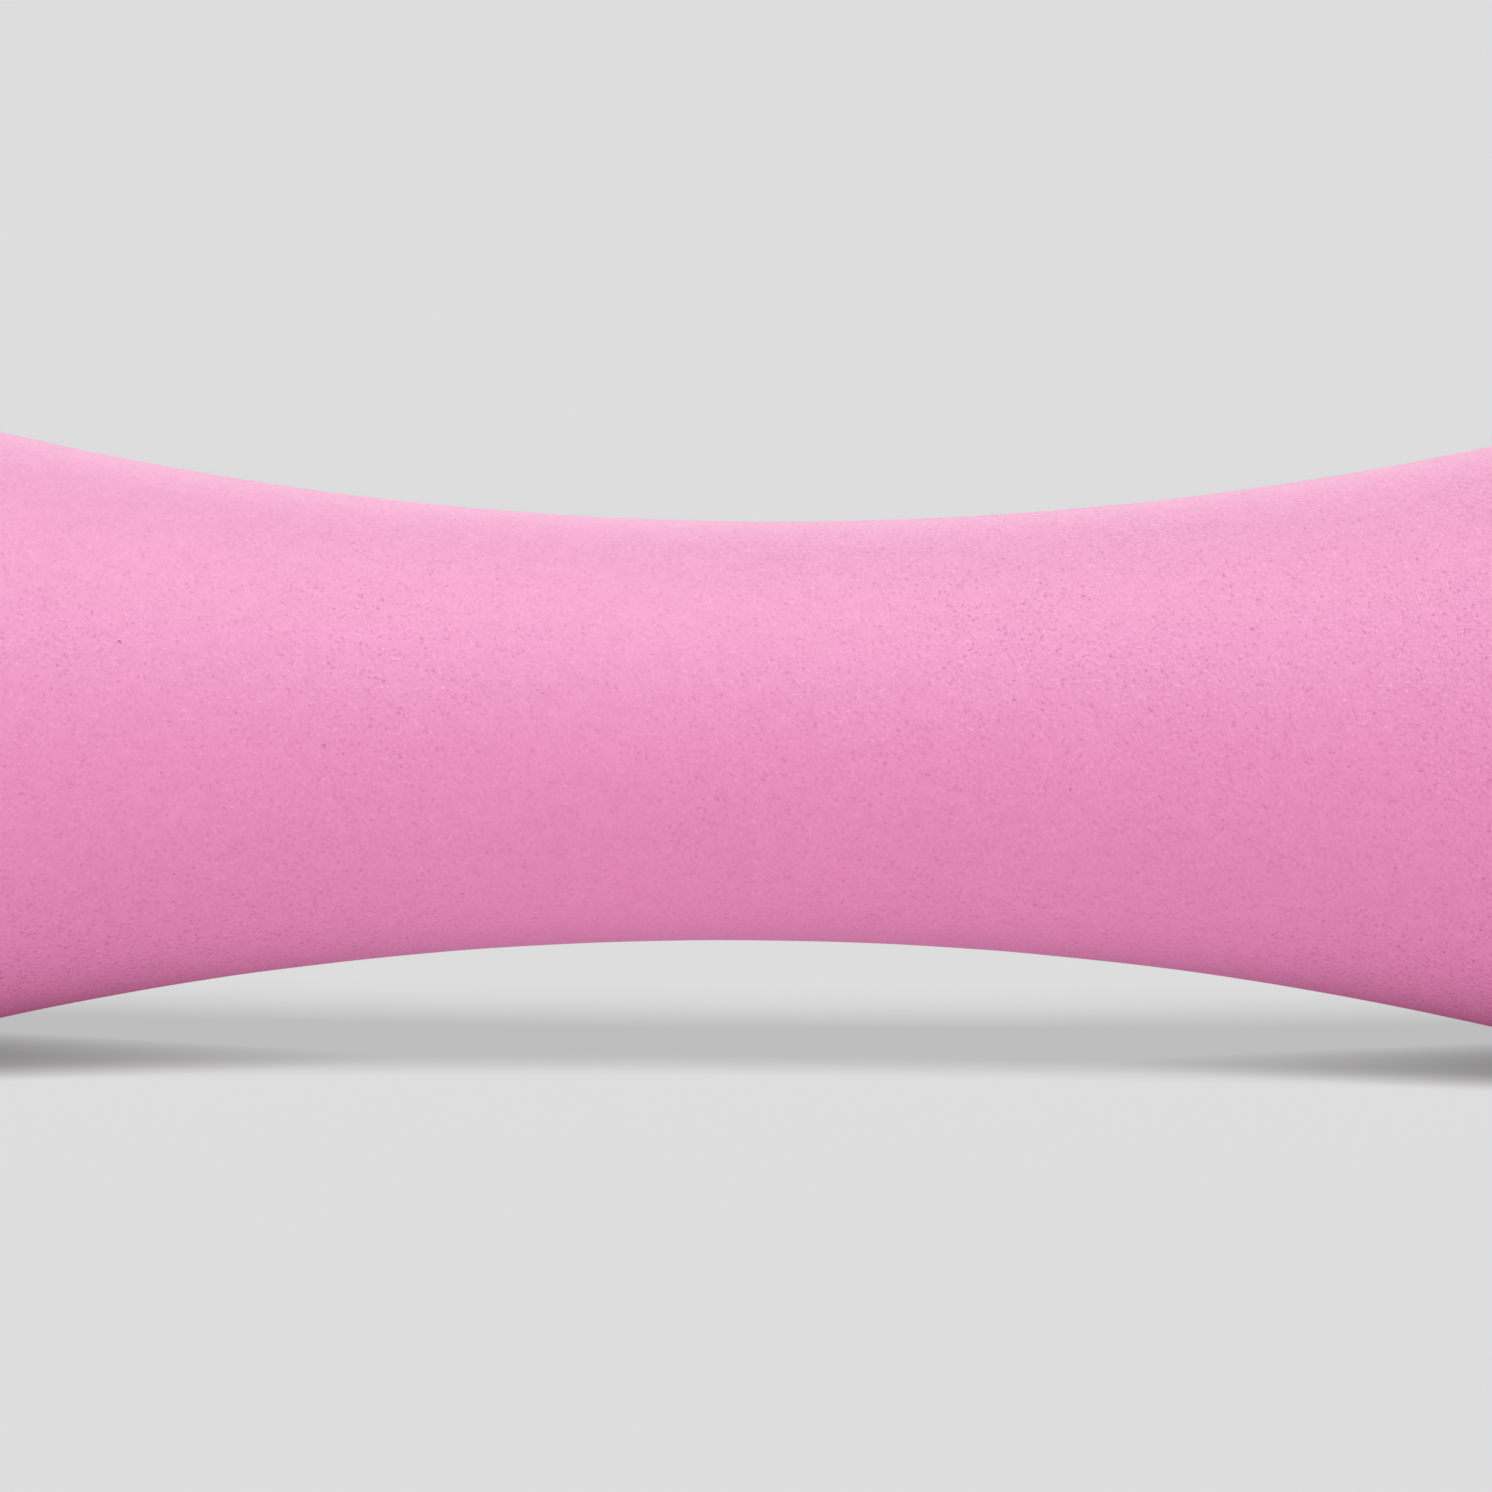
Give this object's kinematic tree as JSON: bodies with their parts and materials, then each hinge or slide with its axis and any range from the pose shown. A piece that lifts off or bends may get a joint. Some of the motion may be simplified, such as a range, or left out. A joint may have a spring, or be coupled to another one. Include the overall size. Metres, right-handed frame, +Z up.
{
  "type": "dumbbell",
  "caption": "Small dumbbell for one hand: a waisted round grip that flares into rounded hexagonal heads, cast in iron and sealed in a matte pink vinyl coat.",
  "frame": {"origin": "on the surface that the dumbbell lies on, under the middle of the grip", "axes": "+X along the bar, +Z up from the flats it rests on, +Y across the bar"},
  "size_m": [0.1602, 0.0488, 0.0444],
  "materials": {
    "iron": "matte",
    "vinyl": "matte"
  },
  "bodies": {
    "root": {"iron_core": "iron", "vinyl_coat": "vinyl"}
  },
  "joints": []
}
